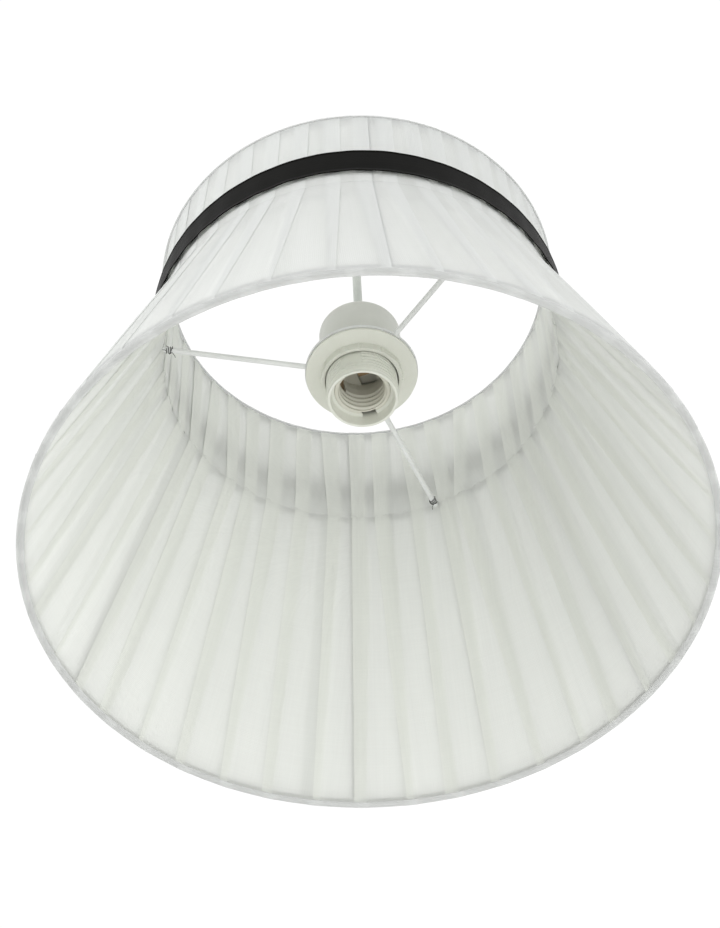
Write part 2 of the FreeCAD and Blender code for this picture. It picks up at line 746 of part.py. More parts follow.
def build_cup():
    """The ceiling cup, its grip nipple on the cord and the screw that holds it up."""
    inside = "cup_radius - cup_wall"
    cup = revolved("cup", [
        ("grip_thread", "cup_bottom"),
        ("cup_radius", "cup_bottom"),
        ("cup_radius", "cup_rim"),
        (inside, "cup_rim"),
        (inside, "cup_bottom + cup_wall"),
        ("grip_thread", "cup_bottom + cup_wall"),
    ])
    rounded(cup, "cup_outer", "cup_radius", "cup_bottom", "cup_round")
    rounded(cup, "cup_inner", inside, "cup_bottom + cup_wall", "cup_round - cup_wall")
    piece(cup, "ceiling_cup")

    bore = "cord_radius + cup_slide_gap"
    nut_bottom = "cup_bottom + cup_wall"
    grip = revolved("cup_nipple", [
        (bore, "cup_collar_bottom"),
        ("cup_collar - collar_chamfer", "cup_collar_bottom"),
        ("cup_collar", "cup_collar_bottom + collar_chamfer"),
        ("cup_collar", "cup_bottom"),
        ("grip_thread", "cup_bottom"),
        ("grip_thread", nut_bottom),
        ("cup_nut_radius", nut_bottom),
        ("cup_nut_radius", nut_bottom + " + cup_nut"),
        (bore, nut_bottom + " + cup_nut"),
    ])
    screw = radial_rod("cup_screw_rod", "grip_screw_radius", bore, "grip_screw_length",
                       "cup_screw_height", 0)
    piece(cut("cup_grip_cut", grip, screw), "cup_grip")
    piece(group("cup_screw_piece", [screw]), "cup_screw")


def check_document():
    """Stop if any object of the document failed, or any sub-part has no valid solid."""
    doc.recompute()
    for item in doc.Objects:
        if "Invalid" in item.State or "Error" in item.State:
            raise RuntimeError("%s failed: %s" % (item.Label, item.State))
    for item in pieces:
        if item.Shape.isNull() or not item.Shape.isValid() or not item.Shape.Solids:
            raise RuntimeError("%s has no valid solid" % item.Label)


def main():
    rings = build_rings()
    build_struts(rings)
    build_cloth()
    build_trim()
    build_spider(rings)
    build_cap()
    build_holder()
    build_sleeve()
    build_contacts()
    build_shade_ring()
    build_cord_grip()
    build_cord()
    build_bracket()
    build_hanger()
    build_terminal_block()
    build_cup()
    check_document()
    os.makedirs("parts", exist_ok=True)
    for item in pieces:
        item.Shape.exportStep("parts/%s.step" % item.Label)
        print("%-22s solids %2d volume %9.1f" % (item.Label, len(item.Shape.Solids), item.Shape.Volume))
    print("%d sub-parts" % len(pieces))


main()
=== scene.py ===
import math
import random

import bmesh
import bpy
from mathutils import Matrix, Vector


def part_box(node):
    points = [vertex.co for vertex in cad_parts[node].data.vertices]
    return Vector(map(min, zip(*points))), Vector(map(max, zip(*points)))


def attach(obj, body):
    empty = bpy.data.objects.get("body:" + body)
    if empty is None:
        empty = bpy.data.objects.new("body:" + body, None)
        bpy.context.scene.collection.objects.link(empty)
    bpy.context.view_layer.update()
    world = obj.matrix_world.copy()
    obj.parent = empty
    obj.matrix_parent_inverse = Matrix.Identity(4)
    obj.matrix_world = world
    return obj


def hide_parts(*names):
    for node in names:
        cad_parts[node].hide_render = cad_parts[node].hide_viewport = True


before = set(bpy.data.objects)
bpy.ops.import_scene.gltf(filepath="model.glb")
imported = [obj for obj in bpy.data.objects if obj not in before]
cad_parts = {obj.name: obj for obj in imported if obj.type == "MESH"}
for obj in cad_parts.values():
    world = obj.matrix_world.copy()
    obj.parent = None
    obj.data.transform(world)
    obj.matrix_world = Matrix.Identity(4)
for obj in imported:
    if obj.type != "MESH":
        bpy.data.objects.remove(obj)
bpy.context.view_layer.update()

TURN = 2 * math.pi


# ---- places and sizes, read from the frame -------------------------------------------------

def low(node):
    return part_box(node)[0]


def high(node):
    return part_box(node)[1]


def radius_at(node, z):
    """Outer radius of a CAD node at a height."""
    near = [v.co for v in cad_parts[node].data.vertices if abs(v.co.z - z) < 0.0004]
    return max(math.hypot(p.x, p.y) for p in near)


RIM = low("cover_skirt").z               # bottom edge of the shade
WAIST = high("cover_skirt").z            # where the cover kinks in
TOP = high("cover_collar").z
RIM_R = high("cover_skirt").x
WAIST_R = high("cover_collar").x
TOP_R = radius_at("cover_collar", TOP)
LINING_RIM = low("lining_skirt").z
LINING_WAIST = high("lining_skirt").z
LINING_TOP = high("lining_collar").z
LINING_RIM_R = high("lining_skirt").x
LINING_WAIST_R = high("lining_collar").x
LINING_TOP_R = radius_at("lining_collar", LINING_TOP)


# ---- camera --------------------------------------------------------------------------------

def make_camera():
    """Below the shade and in front of it, looking up, as the photograph does."""
    pitch, roll = 0.9013, -0.0473        # radians
    place = Vector((-0.0032, -0.7399, RIM - 0.8561))
    ahead = Vector((0, math.cos(pitch), math.sin(pitch)))
    right = Vector((1, 0, 0))
    up = right.cross(ahead)
    right, up = (math.cos(roll) * right + math.sin(roll) * up,
                 math.cos(roll) * up - math.sin(roll) * right)
    data = bpy.data.cameras.new("camera")
    data.lens = 89.2                     # mm
    data.sensor_width = 36               # mm
    camera = bpy.data.objects.new("camera", data)
    bpy.context.scene.collection.objects.link(camera)
    turn = Matrix((right, up, -ahead)).transposed().to_4x4()
    camera.matrix_world = Matrix.Translation(place) @ turn
    bpy.context.scene.camera = camera


make_camera()


# ---- material building blocks --------------------------------------------------------------

class Nodes:
    """A material's node tree, with short calls for the nodes used here."""

    def __init__(self, name):
        self.material = bpy.data.materials.new(name)
        self.material.use_nodes = True
        self.tree = self.material.node_tree
        self.tree.nodes.clear()
        self.output = self.tree.nodes.new("ShaderNodeOutputMaterial")

    def node(self, kind, **settings):
        made = self.tree.nodes.new("ShaderNode" + kind)
        for key, value in settings.items():
            setattr(made, key, value)
        return made

    def link(self, source, target):
        self.tree.links.new(source, target)

    def place(self, scale=(1, 1, 1), attribute=None):
        """Object coordinates, or a named attribute of the mesh, scaled."""
        if attribute:
            source = self.node("Attribute", attribute_name=attribute).outputs["Vector"]
        else:
            source = self.node("TexCoord").outputs["Object"]
        mapping = self.node("Mapping")
        mapping.inputs["Scale"].default_value = scale
        self.link(source, mapping.inputs["Vector"])
        return mapping.outputs["Vector"]

    def noise(self, vector, scale, detail, roughness=0.55):
        made = self.node("TexNoise")
        made.inputs["Scale"].default_value = scale
        made.inputs["Detail"].default_value = detail
        made.inputs["Roughness"].default_value = roughness
        self.link(vector, made.inputs["Vector"])
        return made.outputs["Fac"]

    def wave(self, vector, scale, direction, distortion):
        made = self.node("TexWave", bands_direction=direction)
        made.inputs["Scale"].default_value = scale
        made.inputs["Distortion"].default_value = distortion
        self.link(vector, made.inputs["Vector"])
        return made.outputs["Fac"]

    def spread(self, value, low_value, high_value, start=0.0, end=1.0):
        made = self.node("MapRange")
        made.inputs["From Min"].default_value = start
        made.inputs["From Max"].default_value = end
        made.inputs["To Min"].default_value = low_value
        made.inputs["To Max"].default_value = high_value
        self.link(value, made.inputs["Value"])
        return made.outputs["Result"]

    def ramp(self, value, first, last, start=0.0, end=1.0):
        made = self.node("ValToRGB")
        made.color_ramp.elements[0].position = start
        made.color_ramp.elements[0].color = (*first, 1)
        made.color_ramp.elements[1].position = end
        made.color_ramp.elements[1].color = (*last, 1)
        self.link(value, made.inputs["Fac"])
        return made.outputs["Color"]

    def maths(self, operation, first, second):
        made = self.node("Math", operation=operation)
        for socket, value in zip(made.inputs, (first, second)):
            if isinstance(value, (int, float)):
                socket.default_value = value
            else:
                self.link(value, socket)
        return made.outputs["Value"]

    def bump(self, height, distance, strength):
        made = self.node("Bump")
        made.inputs["Distance"].default_value = distance
        made.inputs["Strength"].default_value = strength
        self.link(height, made.inputs["Height"])
        return made.outputs["Normal"]

    def principled(self, colour, roughness, normal=None, **numbers):
        """colour and roughness are sockets or plain values; numbers are set on the sockets."""
        made = self.node("BsdfPrincipled")
        if isinstance(colour, tuple):
            made.inputs["Base Color"].default_value = (*colour, 1)
        else:
            self.link(colour, made.inputs["Base Color"])
        if isinstance(roughness, float):
            made.inputs["Roughness"].default_value = roughness
        else:
            self.link(roughness, made.inputs["Roughness"])
        if normal is not None:
            self.link(normal, made.inputs["Normal"])
        for key, value in numbers.items():
            made.inputs[key.replace("_", " ").title().replace("Ior", "IOR")].default_value = value
        return made.outputs["BSDF"]

    def mix(self, share, first, second):
        made = self.node("MixShader")
        if isinstance(share, float):
            made.inputs["Fac"].default_value = share
        else:
            self.link(share, made.inputs["Fac"])
        self.link(first, made.inputs[1])
        self.link(second, made.inputs[2])
        return made.outputs["Shader"]

    def done(self, shader):
        self.link(shader, self.output.inputs["Surface"])
        return self.material


def sheer_cloth(name, tint, through, clear, doubled):
    """Organza: crossing fine threads, light passing through it, and a faint see-through.

    through is the share of light that comes through the threads, clear the share that passes
    between them. doubled scales the colour up where a pleat lies three deep: painted light, for
    the light that the layers beneath send back."""
    n = Nodes(name)
    cloth = n.place(attribute="cloth")
    weave = 340                          # threads, as bands of the wave texture
    threads = n.maths("MULTIPLY", n.wave(cloth, weave, "X", 1.5),
                      n.wave(cloth, weave, "Y", 1.5))
    slubs = n.noise(n.place((700, 10, 1), "cloth"), 1.0, 3.0)
    cross = n.noise(n.place((12, 800, 1), "cloth"), 1.0, 3.0)
    cloud = n.noise(n.place((9, 9, 9)), 1.0, 2.0)
    grain = n.maths("ADD", n.maths("MULTIPLY", slubs, 0.6), n.maths("MULTIPLY", cross, 0.4))
    shade = n.maths("ADD", n.maths("MULTIPLY", grain, 0.6), n.maths("MULTIPLY", cloud, 0.4))
    dark = tuple(c * 0.975 for c in tint)
    colour = n.ramp(shade, dark, tint, 0.3, 0.7)
    # painted light: the colour is made lighter where the attribute layers marks cloth three deep
    layers = n.node("SeparateXYZ")
    n.link(n.place(attribute="layers"), layers.inputs["Vector"])
    lighter = n.node("VectorMath", operation="SCALE")
    n.link(colour, lighter.inputs[0])
    n.link(n.spread(layers.outputs["X"], 1.0, doubled), lighter.inputs["Scale"])
    colour = lighter.outputs["Vector"]
    height = n.maths("ADD", n.maths("MULTIPLY", threads, 0.35), n.maths("MULTIPLY", grain, 0.65))
    normal = n.bump(height, 0.0002, 0.5)
    front = n.principled(colour, n.spread(grain, 0.5, 0.72), normal,
                         sheen_weight=0.1, sheen_roughness=0.4, specular_ior_level=0.2)
    behind = n.node("BsdfTranslucent")
    n.link(colour, behind.inputs["Color"])
    n.link(normal, behind.inputs["Normal"])
    solid = n.mix(through, front, behind.outputs["BSDF"])
    see = n.node("BsdfTransparent")
    see.inputs["Color"].default_value = (1, 1, 1, 1)
    return n.done(n.mix(n.spread(grain, clear * 0.8, clear * 1.2, 0.3, 0.7),
                        solid, see.outputs["BSDF"]))


def satin(name):
    """Black satin ribbon: fine ribs across it, a soft shine along it."""
    n = Nodes(name)
    ribs = n.wave(n.place(attribute="cloth"), 620, "X", 0.6)
    streaks = n.noise(n.place((6, 900, 1), "cloth"), 1.0, 3.0)
    cloud = n.noise(n.place((14, 14, 14)), 1.0, 2.0)
    tone = n.maths("ADD", n.maths("MULTIPLY", streaks, 0.6), n.maths("MULTIPLY", cloud, 0.4))
    colour = n.ramp(tone, (0.003, 0.003, 0.0027), (0.008, 0.008, 0.0068), 0.3, 0.7)
    height = n.maths("ADD", n.maths("MULTIPLY", ribs, 0.5), n.maths("MULTIPLY", streaks, 0.5))
    shader = n.principled(colour, n.spread(streaks, 0.3, 0.46), n.bump(height, 0.0002, 0.5),
                          anisotropic=0.5, specular_ior_level=0.015)
    return n.done(shader)


def thread(name, dark, light):
    """Twisted sewing thread, or thin tie wire."""
    n = Nodes(name)
    place = n.place()
    twist = n.wave(place, 900, "DIAGONAL", 2.0)
    fuzz = n.noise(place, 900, 3.0)
    tone = n.maths("ADD", n.maths("MULTIPLY", twist, 0.5), n.maths("MULTIPLY", fuzz, 0.5))
    return n.done(n.principled(n.ramp(tone, dark, light, 0.25, 0.75), n.spread(fuzz, 0.65, 0.9),
                               n.bump(tone, 0.0002, 0.6), sheen_weight=0.3))


def enamel(name, dark, light, roughness, scale=60, peel=1400):
    """Paint or moulded plastic: slight mottling, orange peel and rubbed dull patches."""
    n = Nodes(name)
    place = n.place()
    cloud = n.noise(place, scale, 4.0)
    fine = n.noise(place, peel, 2.0)
    rub = n.noise(n.place((1, 1, 0.25)), scale * 4, 5.0, 0.7)
    tone = n.maths("ADD", n.maths("MULTIPLY", cloud, 0.7), n.maths("MULTIPLY", rub, 0.3))
    return n.done(n.principled(n.ramp(tone, dark, light, 0.3, 0.7),
                               n.spread(rub, roughness * 0.8, roughness * 1.25, 0.3, 0.7),
                               n.bump(fine, 0.00005, 0.5), coat_weight=0.08, coat_roughness=0.3))


def metal(name, dark, light, roughness):
    """Pressed or turned metal with drawing lines and handling marks."""
    n = Nodes(name)
    lines = n.noise(n.place((40, 40, 900)), 1.0, 3.0)
    marks = n.noise(n.place(), 240, 5.0, 0.65)
    tone = n.maths("ADD", n.maths("MULTIPLY", lines, 0.5), n.maths("MULTIPLY", marks, 0.5))
    return n.done(n.principled(n.ramp(tone, dark, light, 0.3, 0.7),
                               n.spread(marks, roughness * 0.7, roughness * 1.4, 0.3, 0.7),
                               n.bump(tone, 0.00008, 0.6), metallic=1.0))


# One organza in three tints: the cover's and the turned edge's darker tints are painted shade, the
# lining's lighter tint painted light, set for how bright each looks under these lamps. The last
# number is the painted light where the cloth lies three deep.
COVER = sheer_cloth("cover_organza", (0.850, 0.862, 0.852), 0.38, 0.10, 1.07)
LINING = sheer_cloth("lining_organza", (0.945, 0.955, 0.925), 0.44, 0.14, 1.04)
EDGE = sheer_cloth("turned_edge", (0.82, 0.83, 0.82), 0.3, 0.32, 1.06)
RIBBON = satin("black_satin")
STITCH = thread("white_thread", (0.66, 0.67, 0.65), (0.82, 0.83, 0.81))
TIE_WIRE = thread("tie_wire", (0.014, 0.015, 0.014), (0.09, 0.093, 0.087))
WIRE = enamel("white_wire_paint", (0.78, 0.79, 0.78), (0.87, 0.88, 0.87), 0.38)
HOLDER = enamel("cream_holder_plastic", (0.75, 0.76, 0.68), (0.82, 0.83, 0.76), 0.34, 45)
CAP = enamel("cap_plastic", (0.66, 0.67, 0.62), (0.74, 0.75, 0.70), 0.36, 45)
SLEEVE = enamel("sleeve_plastic", (0.66, 0.65, 0.56), (0.74, 0.73, 0.65), 0.4, 45)
# painted shade: the rings and struts are white wire, drawn dark grey for the shade they lie in
# behind the cloth
FRAME_WIRE = metal("painted_shade_frame_wire", (0.26, 0.265, 0.265), (0.40, 0.41, 0.41), 0.5)
CUP = enamel("cup_plastic", (0.70, 0.71, 0.69), (0.78, 0.79, 0.77), 0.35, 30)
# painted shade: the flex is white PVC, drawn grey-green for the shade it hangs in
JACKET = enamel("cord_jacket", (0.52, 0.55, 0.51), (0.60, 0.63, 0.59), 0.45, 160, 2600)
BRASS = metal("contact_brass", (0.32, 0.21, 0.12), (0.54, 0.39, 0.25), 0.35)
ZINC = metal("zinc_steel", (0.50, 0.50, 0.50), (0.66, 0.67, 0.68), 0.35)
SCREW = metal("screw_steel", (0.42, 0.42, 0.41), (0.62, 0.62, 0.60), 0.32)
BROWN = enamel("brown_core", (0.10, 0.045, 0.022), (0.15, 0.07, 0.035), 0.4, 200)
BLUE = enamel("blue_core", (0.02, 0.06, 0.22), (0.035, 0.09, 0.30), 0.4, 200)
TERMINAL = enamel("terminal_plastic", (0.66, 0.66, 0.63), (0.76, 0.76, 0.73), 0.4, 60)


# ---- cord ----------------------------------------------------------------------------------

def link(obj):
    bpy.context.scene.collection.objects.link(obj)
    return obj


def make_cord():
    """The flex is held taut by the shade's weight: straight up from its grip to its hanger."""
    bottom, top = low("cord"), high("cord")
    radius = (top.x - bottom.x) / 2
    curve = bpy.data.curves.new("flex", "CURVE")
    curve.dimensions = "3D"
    spline = curve.splines.new("NURBS")
    held = 0.012                         # length that the grip and the hanger hold upright
    heights = [bottom.z, bottom.z + held, (bottom.z + top.z) / 2, top.z - held, top.z]
    spline.points.add(len(heights) - 1)
    for point, z in zip(spline.points, heights):
        point.co = (0, 0, z, 1)
    spline.order_u = 3
    spline.use_endpoint_u = True
    spline.resolution_u = 12
    curve.bevel_depth = radius
    curve.bevel_resolution = 6
    curve.use_fill_caps = True
    flex = link(bpy.data.objects.new("flex", curve))
    curve.materials.append(JACKET)
    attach(flex, "pendant")
    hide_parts("cord")


make_cord()


# ---- mesh building blocks ------------------------------------------------------------------

def mesh_piece(name, points, faces, material, body):
    """A smooth-shaded mesh object that rides on a body."""
    mesh = bpy.data.meshes.new(name)
    mesh.from_pydata(points, [], faces)
    mesh.validate()
    mesh.update()
    mesh.materials.append(material)
    mesh.polygons.foreach_set("use_smooth", [True] * len(mesh.polygons))
    obj = link(bpy.data.objects.new(name, mesh))
    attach(obj, body)
    return obj


def store(mesh, name, vectors):
    """Keeps one vector per point as a named attribute, which the materials read."""
    layer = mesh.attributes.new(name, "FLOAT_VECTOR", "POINT")
    layer.data.foreach_set("vector", [c for v in vectors for c in v])


def sharpen(obj, angle):
    """Marks edges that turn more than angle as sharp."""
    mesh = obj.data
    normals = {}
    for face in mesh.polygons:
        for key in face.edge_keys:
            normals.setdefault(key, []).append(face.normal.copy())
    for edge in mesh.edges:
        pair = normals.get(tuple(sorted(edge.vertices)), [])
        if len(pair) == 2 and pair[0].angle(pair[1], 0) > angle:
            edge.use_edge_sharp = True


def rounded(corners, radius):
    """A closed outline of (r, z) corners with each corner cut round."""
    steps = 3
    out = []
    count = len(corners)
    for i, corner in enumerate(corners):
        here = Vector(corner)
        before, after = Vector(corners[i - 1]) - here, Vector(corners[(i + 1) % count]) - here
        size = min(radius, before.length * 0.45, after.length * 0.45)
        a, b = here + before.normalized() * size, here + after.normalized() * size
        for k in range(steps + 1):
            t = k / steps
            out.append(a * (1 - t) ** 2 + here * 2 * t * (1 - t) + b * t ** 2)
    return out


def dense(outline, step, where=lambda p: True):
    """The outline with its long runs divided, where both ends of a run pass the test."""
    out = []
    for i, here in enumerate(outline):
        after = outline[(i + 1) % len(outline)]
        divided = where(here) and where(after)
        parts = max(1, math.ceil((after - here).length / step)) if divided else 1
        out += [here.lerp(after, k / parts) for k in range(parts)]
    return out


def lathe(name, outline, segments, material, body, warp, angle=0.6):
    """Turns a closed (r, z) outline about the axis; warp moves each point of it.

    Edges that turn more than angle stay sharp."""
    points, faces, cloth = [], [], []
    count = len(outline)
    for j in range(segments):
        a = TURN * j / segments
        for r, z in outline:
            cloth.append((r * a, z, 0))
            r, z = warp(r, z, a)
            points.append((r * math.cos(a), r * math.sin(a), z))
    for j in range(segments):
        k = (j + 1) % segments
        for i in range(count):
            m = (i + 1) % count
            faces.append((j * count + i, k * count + i, k * count + m, j * count + m))
    obj = mesh_piece(name, points, faces, material, body)
    store(obj.data, "cloth", cloth)
    outward(obj)
    sharpen(obj, angle)
    return obj


def outward(obj):
    """Turns every face of a closed mesh outward."""
    bm = bmesh.new()
    bm.from_mesh(obj.data)
    bmesh.ops.recalc_face_normals(bm, faces=bm.faces)
    bm.to_mesh(obj.data)
    bm.free()


TUBE_SIDES = 6


def tube_points(path, radius):
    """Points and faces of a tube along path, closed at both ends."""
    points, faces = [], []
    sides, last = TUBE_SIDES, len(path) - 1
    up = Vector((0, 0, 1))
    for i, here in enumerate(path):
        along = path[min(i + 1, last)] - path[max(i - 1, 0)]
        side = along.cross(up)
        if side.length < 1e-9:
            side = along.cross(Vector((1, 0, 0)))
        side.normalize()
        over = side.cross(along).normalized()
        for k in range(sides):
            a = TURN * k / sides
            points.append(here + (side * math.cos(a) + over * math.sin(a)) * radius)
    for i in range(last):
        j = i + 1
        for k in range(sides):
            m = (k + 1) % sides
            faces.append((i * sides + k, i * sides + m, j * sides + m, j * sides + k))
    faces.append(tuple(range(sides))[::-1])
    faces.append(tuple(last * sides + k for k in range(sides)))
    return points, faces


def tubes(name, runs, material, body):
    """One mesh made of several tubes; runs are (path, radius)."""
    points, faces = [], []
    for path, radius in runs:
        more, quads = tube_points(path, radius)
        start = len(points)
        points += more
        faces += [tuple(start + v for v in quad) for quad in quads]
    obj = mesh_piece(name, points, faces, material, body)
    outward(obj)
    return obj


def polar(r, a, z):
    return Vector((r * math.cos(a), r * math.sin(a), z))


def smooth_step(t):
    """Eases from 0 to 1 as t goes from 0 to 1, and stays level outside."""
    t = min(max(t, 0.0), 1.0)
    return t * t * (3 - 2 * t)


# ---- pleated cloth -------------------------------------------------------------------------

PLEATS = 43
STRUTS = 6
UNDER_COVER, UNDER_LINING = 0.0076, 0.0110    # cloth laid under in each pleat at the rim
FIRST_FOLD = math.radians(95)                 # a strut stands here, and at every sixth of a turn


def fold_set(seed, spread):
    """One random set of fold angles, with a fold exactly at each strut."""
    rnd = random.Random(seed)
    first = [round(PLEATS * k / STRUTS) for k in range(STRUTS + 1)]
    folds = []
    for k in range(STRUTS):
        count = first[k + 1] - first[k]
        step = TURN / STRUTS / count
        folds += [FIRST_FOLD - k * TURN / STRUTS - i * step
                  + (rnd.uniform(-spread, spread) * step if i else 0) for i in range(count)]
    return folds


def slope(a, b):
    """Distance between two (radius, z) places."""
    return math.hypot(a[0] - b[0], a[1] - b[1])


def pleated(name, node, material, outside, lower, upper, folds, width, gap,
            rows, lift, crush, seed, ease=lambda z: 1.0, tuck=0.0):
    """A ring of knife pleats between two levels.

    lower and upper are (radius, z) of the surface that the hidden back of the pleats lies on.
    folds holds the fold angles at the lower and upper edge. width is the cloth in one pleat,
    gap the distance between its three layers, lower and upper. rows is the number of rows of
    faces, lift how far the folded edges stand off, and crush(v) how deep the cloth is creased
    at a height v from 0 to 1. ease(z) holds the cloth down where it is 0. tuck draws the lower
    edge in."""
    rnd = random.Random(seed)
    side = 1 if outside else -1
    front_steps, back_steps = 16, 3      # points across a pleat's face and its hidden return
    loose = 0.0006 if outside else 0.0010    # the deepest puff between the rings
    tuck_height, least_under, most_under = 0.003, 0.0015, 0.62
    bulge = [rnd.uniform(0.3, 1.0) for _ in range(PLEATS)]
    raised = [rnd.uniform(0.2, 1.0) ** 1.5 for _ in range(PLEATS)]
    wave = [(rnd.uniform(0, TURN), rnd.uniform(1.2, 2.6), rnd.uniform(0.4, 1.0))
            for _ in range(PLEATS)]
    slack = [rnd.uniform(0.75, 1.25) for _ in range(PLEATS)]
    columns = PLEATS * (front_steps + back_steps)
    slant = slope(lower, upper)
    points, cloth, layers = [], [], []
    near_edge = {0.0, 0.006, 0.014}      # more levels where the lower edge is tucked in
    levels = sorted(near_edge | {row / rows for row in range(rows + 1)})
    for v in levels:
        radius = lower[0] + (upper[0] - lower[0]) * v
        z = lower[1] + (upper[1] - lower[1]) * v
        layer = gap[0] + (gap[1] - gap[0]) * v
        free = math.sin(math.pi * v) * ease(z)
        radius -= tuck * (1 - smooth_step((z - lower[1]) / tuck_height))
        run = 0.0
        for i in range(PLEATS):
            nxt = (i + 1) % PLEATS
            here = folds[0][i] + (folds[1][i] - folds[0][i]) * v
            after_low = folds[0][nxt] - (TURN if nxt == 0 else 0)
            after_high = folds[1][nxt] - (TURN if nxt == 0 else 0)
            after = after_low + (after_high - after_low) * v
            pitch = (here - after) * radius
            under = min(max((width - pitch) / 2, least_under), pitch * most_under)
            under *= 0.9 + 0.1 * slack[i]
            reach = pitch + under
            phase, beats, strong = wave[i]
            lift_here, lift_next = lift * free * raised[i], lift * free * raised[nxt]
            for k in range(front_steps):
                t = k / (front_steps - 1)
                t = t * 0.97 + 0.03 * t * t
                seen = min(t * reach / pitch, 1.0)
                depth = 2 * layer * seen ** 1.35
                lifted = lift_here * (1 - smooth_step(seen * 1.3))
                puff = bulge[i] * loose * free * math.sin(math.pi * min(seen, 1))
                creased = (crush(v) * strong * math.sin(phase + beats * TURN * seen)
                           * math.sin(math.pi * seen))
                r = radius + side * (2 * layer - depth + lifted + puff + creased)
                angle = here - t * reach / radius
                points.append(polar(r, angle, z))
                # over_last marks the front over the last pleat, painted lighter there (painted
                # light)
                over_last = 1 - smooth_step((t * reach / under - 0.8) / 0.4)
                layers.append((over_last, 0, 0))
                cloth.append((run + t * reach, v * slant, 0))
            for k in range(back_steps):
                t = (k + 0.35) / (back_steps - 0.3)
                r = radius + side * (layer * (0.55 + 0.6 * t) + lift_next * t)
                angle = after - (1 - t) * under / radius
                points.append(polar(r, angle, z))
                layers.append((0, 0, 0))
                cloth.append((run + reach + t * under, v * slant, 0))
            run += reach + under
    faces = []
    for row in range(len(levels) - 1):
        for c in range(columns):
            d = (c + 1) % columns
            quad = (row * columns + c, row * columns + d,
                    (row + 1) * columns + d, (row + 1) * columns + c)
            faces.append(quad[::-1] if outside else quad)
    obj = mesh_piece(name, points, faces, material, "shade")
    store(obj.data, "cloth", cloth)
    store(obj.data, "layers", layers)
    sharpen(obj, 0.9)
    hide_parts(node)


COVER_LOW = fold_set(11, 0.14)
COVER_MID = fold_set(12, 0.12)
COVER_TOP = fold_set(13, 0.12)
LINING_LOW = fold_set(21, 0.18)
LINING_MID = fold_set(22, 0.20)
LINING_TOP_FOLDS = fold_set(23, 0.16)

COVER_PLEAT = TURN * RIM_R / PLEATS + UNDER_COVER
LINING_PLEAT = TURN * LINING_RIM_R / PLEATS + UNDER_LINING

# the surfaces that the pleats lie on: (radius, z) at the rim, the waist and the top
COVER_BACK = ((RIM_R - 0.0010, RIM), (WAIST_R - 0.0017, WAIST), (TOP_R - 0.0014, TOP))
LINING_BACK = ((LINING_RIM_R - 0.0001, LINING_RIM), (LINING_WAIST_R - 0.0002, LINING_WAIST),
               (LINING_TOP_R, LINING_TOP))

pleated("pleated_cover_skirt", "cover_skirt", COVER, True,
        COVER_BACK[0], COVER_BACK[1], (COVER_LOW, COVER_MID), COVER_PLEAT, (0.00012, 0.00015),
        36, 0.0001, lambda v: 0.0003 * smooth_step((v - 0.45) / 0.5) * (1 - 0.6 * v), 31,
        tuck=0.0008)
pleated("pleated_cover_collar", "cover_collar", COVER, True,
        COVER_BACK[1], COVER_BACK[2], (COVER_MID, COVER_TOP), COVER_PLEAT, (0.00015, 0.00012),
        20, 0.0001, lambda v: 0.0, 32,
        ease=lambda z: smooth_step((z - high("waist_ribbon").z) / 0.012))
pleated("pleated_lining_skirt", "lining_skirt", LINING, False,
        LINING_BACK[0], LINING_BACK[1], (LINING_LOW, LINING_MID), LINING_PLEAT,
        (0.00015, 0.0003), 30, 0.0004,
        lambda v: 0.0007 * smooth_step((v - 0.3) / 0.5) * (1 - 0.5 * v), 33)
pleated("pleated_lining_collar", "lining_collar", LINING, False,
        LINING_BACK[1], LINING_BACK[2], (LINING_MID, LINING_TOP_FOLDS), LINING_PLEAT,
        (0.0003, 0.0002), 16, 0.0003, lambda v: 0.0003, 34)


# ---- turned edges, ribbon, stitches and lashings -------------------------------------------

def ripple(a, seed):
    """A small, smooth, irregular number that repeats round the shade."""
    return (math.sin(3 * a + seed) + math.sin(7 * a + 2.3 * seed) * 0.6
            + math.sin(17 * a + 4.1 * seed) * 0.35) / 1.95


def turned_edge(name, node, inner, outer, edge, side):
    """The cloth turned over a ring between lining and cover; side is -1 under, +1 over."""
    middle, half = (inner + outer) / 2, (outer - inner) / 2
    thick, bulge, steps, segments = 0.00022, 0.0012, 10, 16 * PLEATS
    sweep = [math.pi * k / steps for k in range(steps + 1)]
    skin = [Vector((middle - math.cos(t) * half, edge + side * math.sin(t) * bulge))
            for t in sweep]
    back = [Vector((middle + (p.x - middle) * 0.9, p.y - side * thick)) for p in reversed(skin)]

    def doubled(a):
        """1 where the doubled cloth of a pleat goes over the ring, 0 between."""
        pleat = (PLEATS * (FIRST_FOLD - a) / TURN + 0.1 * ripple(a, 1.0)) % 1
        return smooth_step(pleat / 0.06) * (1 - smooth_step((pleat - 0.30) / 0.06))
    obj = lathe(name, skin + back, segments, EDGE, "shade",
                lambda r, z, a: (r, z + side * 0.0002 * doubled(a)))
    # doubled goes into layers, where the material paints the cloth lighter: painted light
    store(obj.data, "layers", [(doubled(TURN * j / segments), 0, 0)
                               for j in range(segments) for _ in skin + back])
    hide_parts(node)


turned_edge("turned_hem", "bottom_binding", LINING_RIM_R - 0.0010, RIM_R - 0.0015, RIM, -1)
turned_edge("turned_top", "top_binding", LINING_TOP_R - 0.0012, TOP_R - 0.0001, TOP, 1)


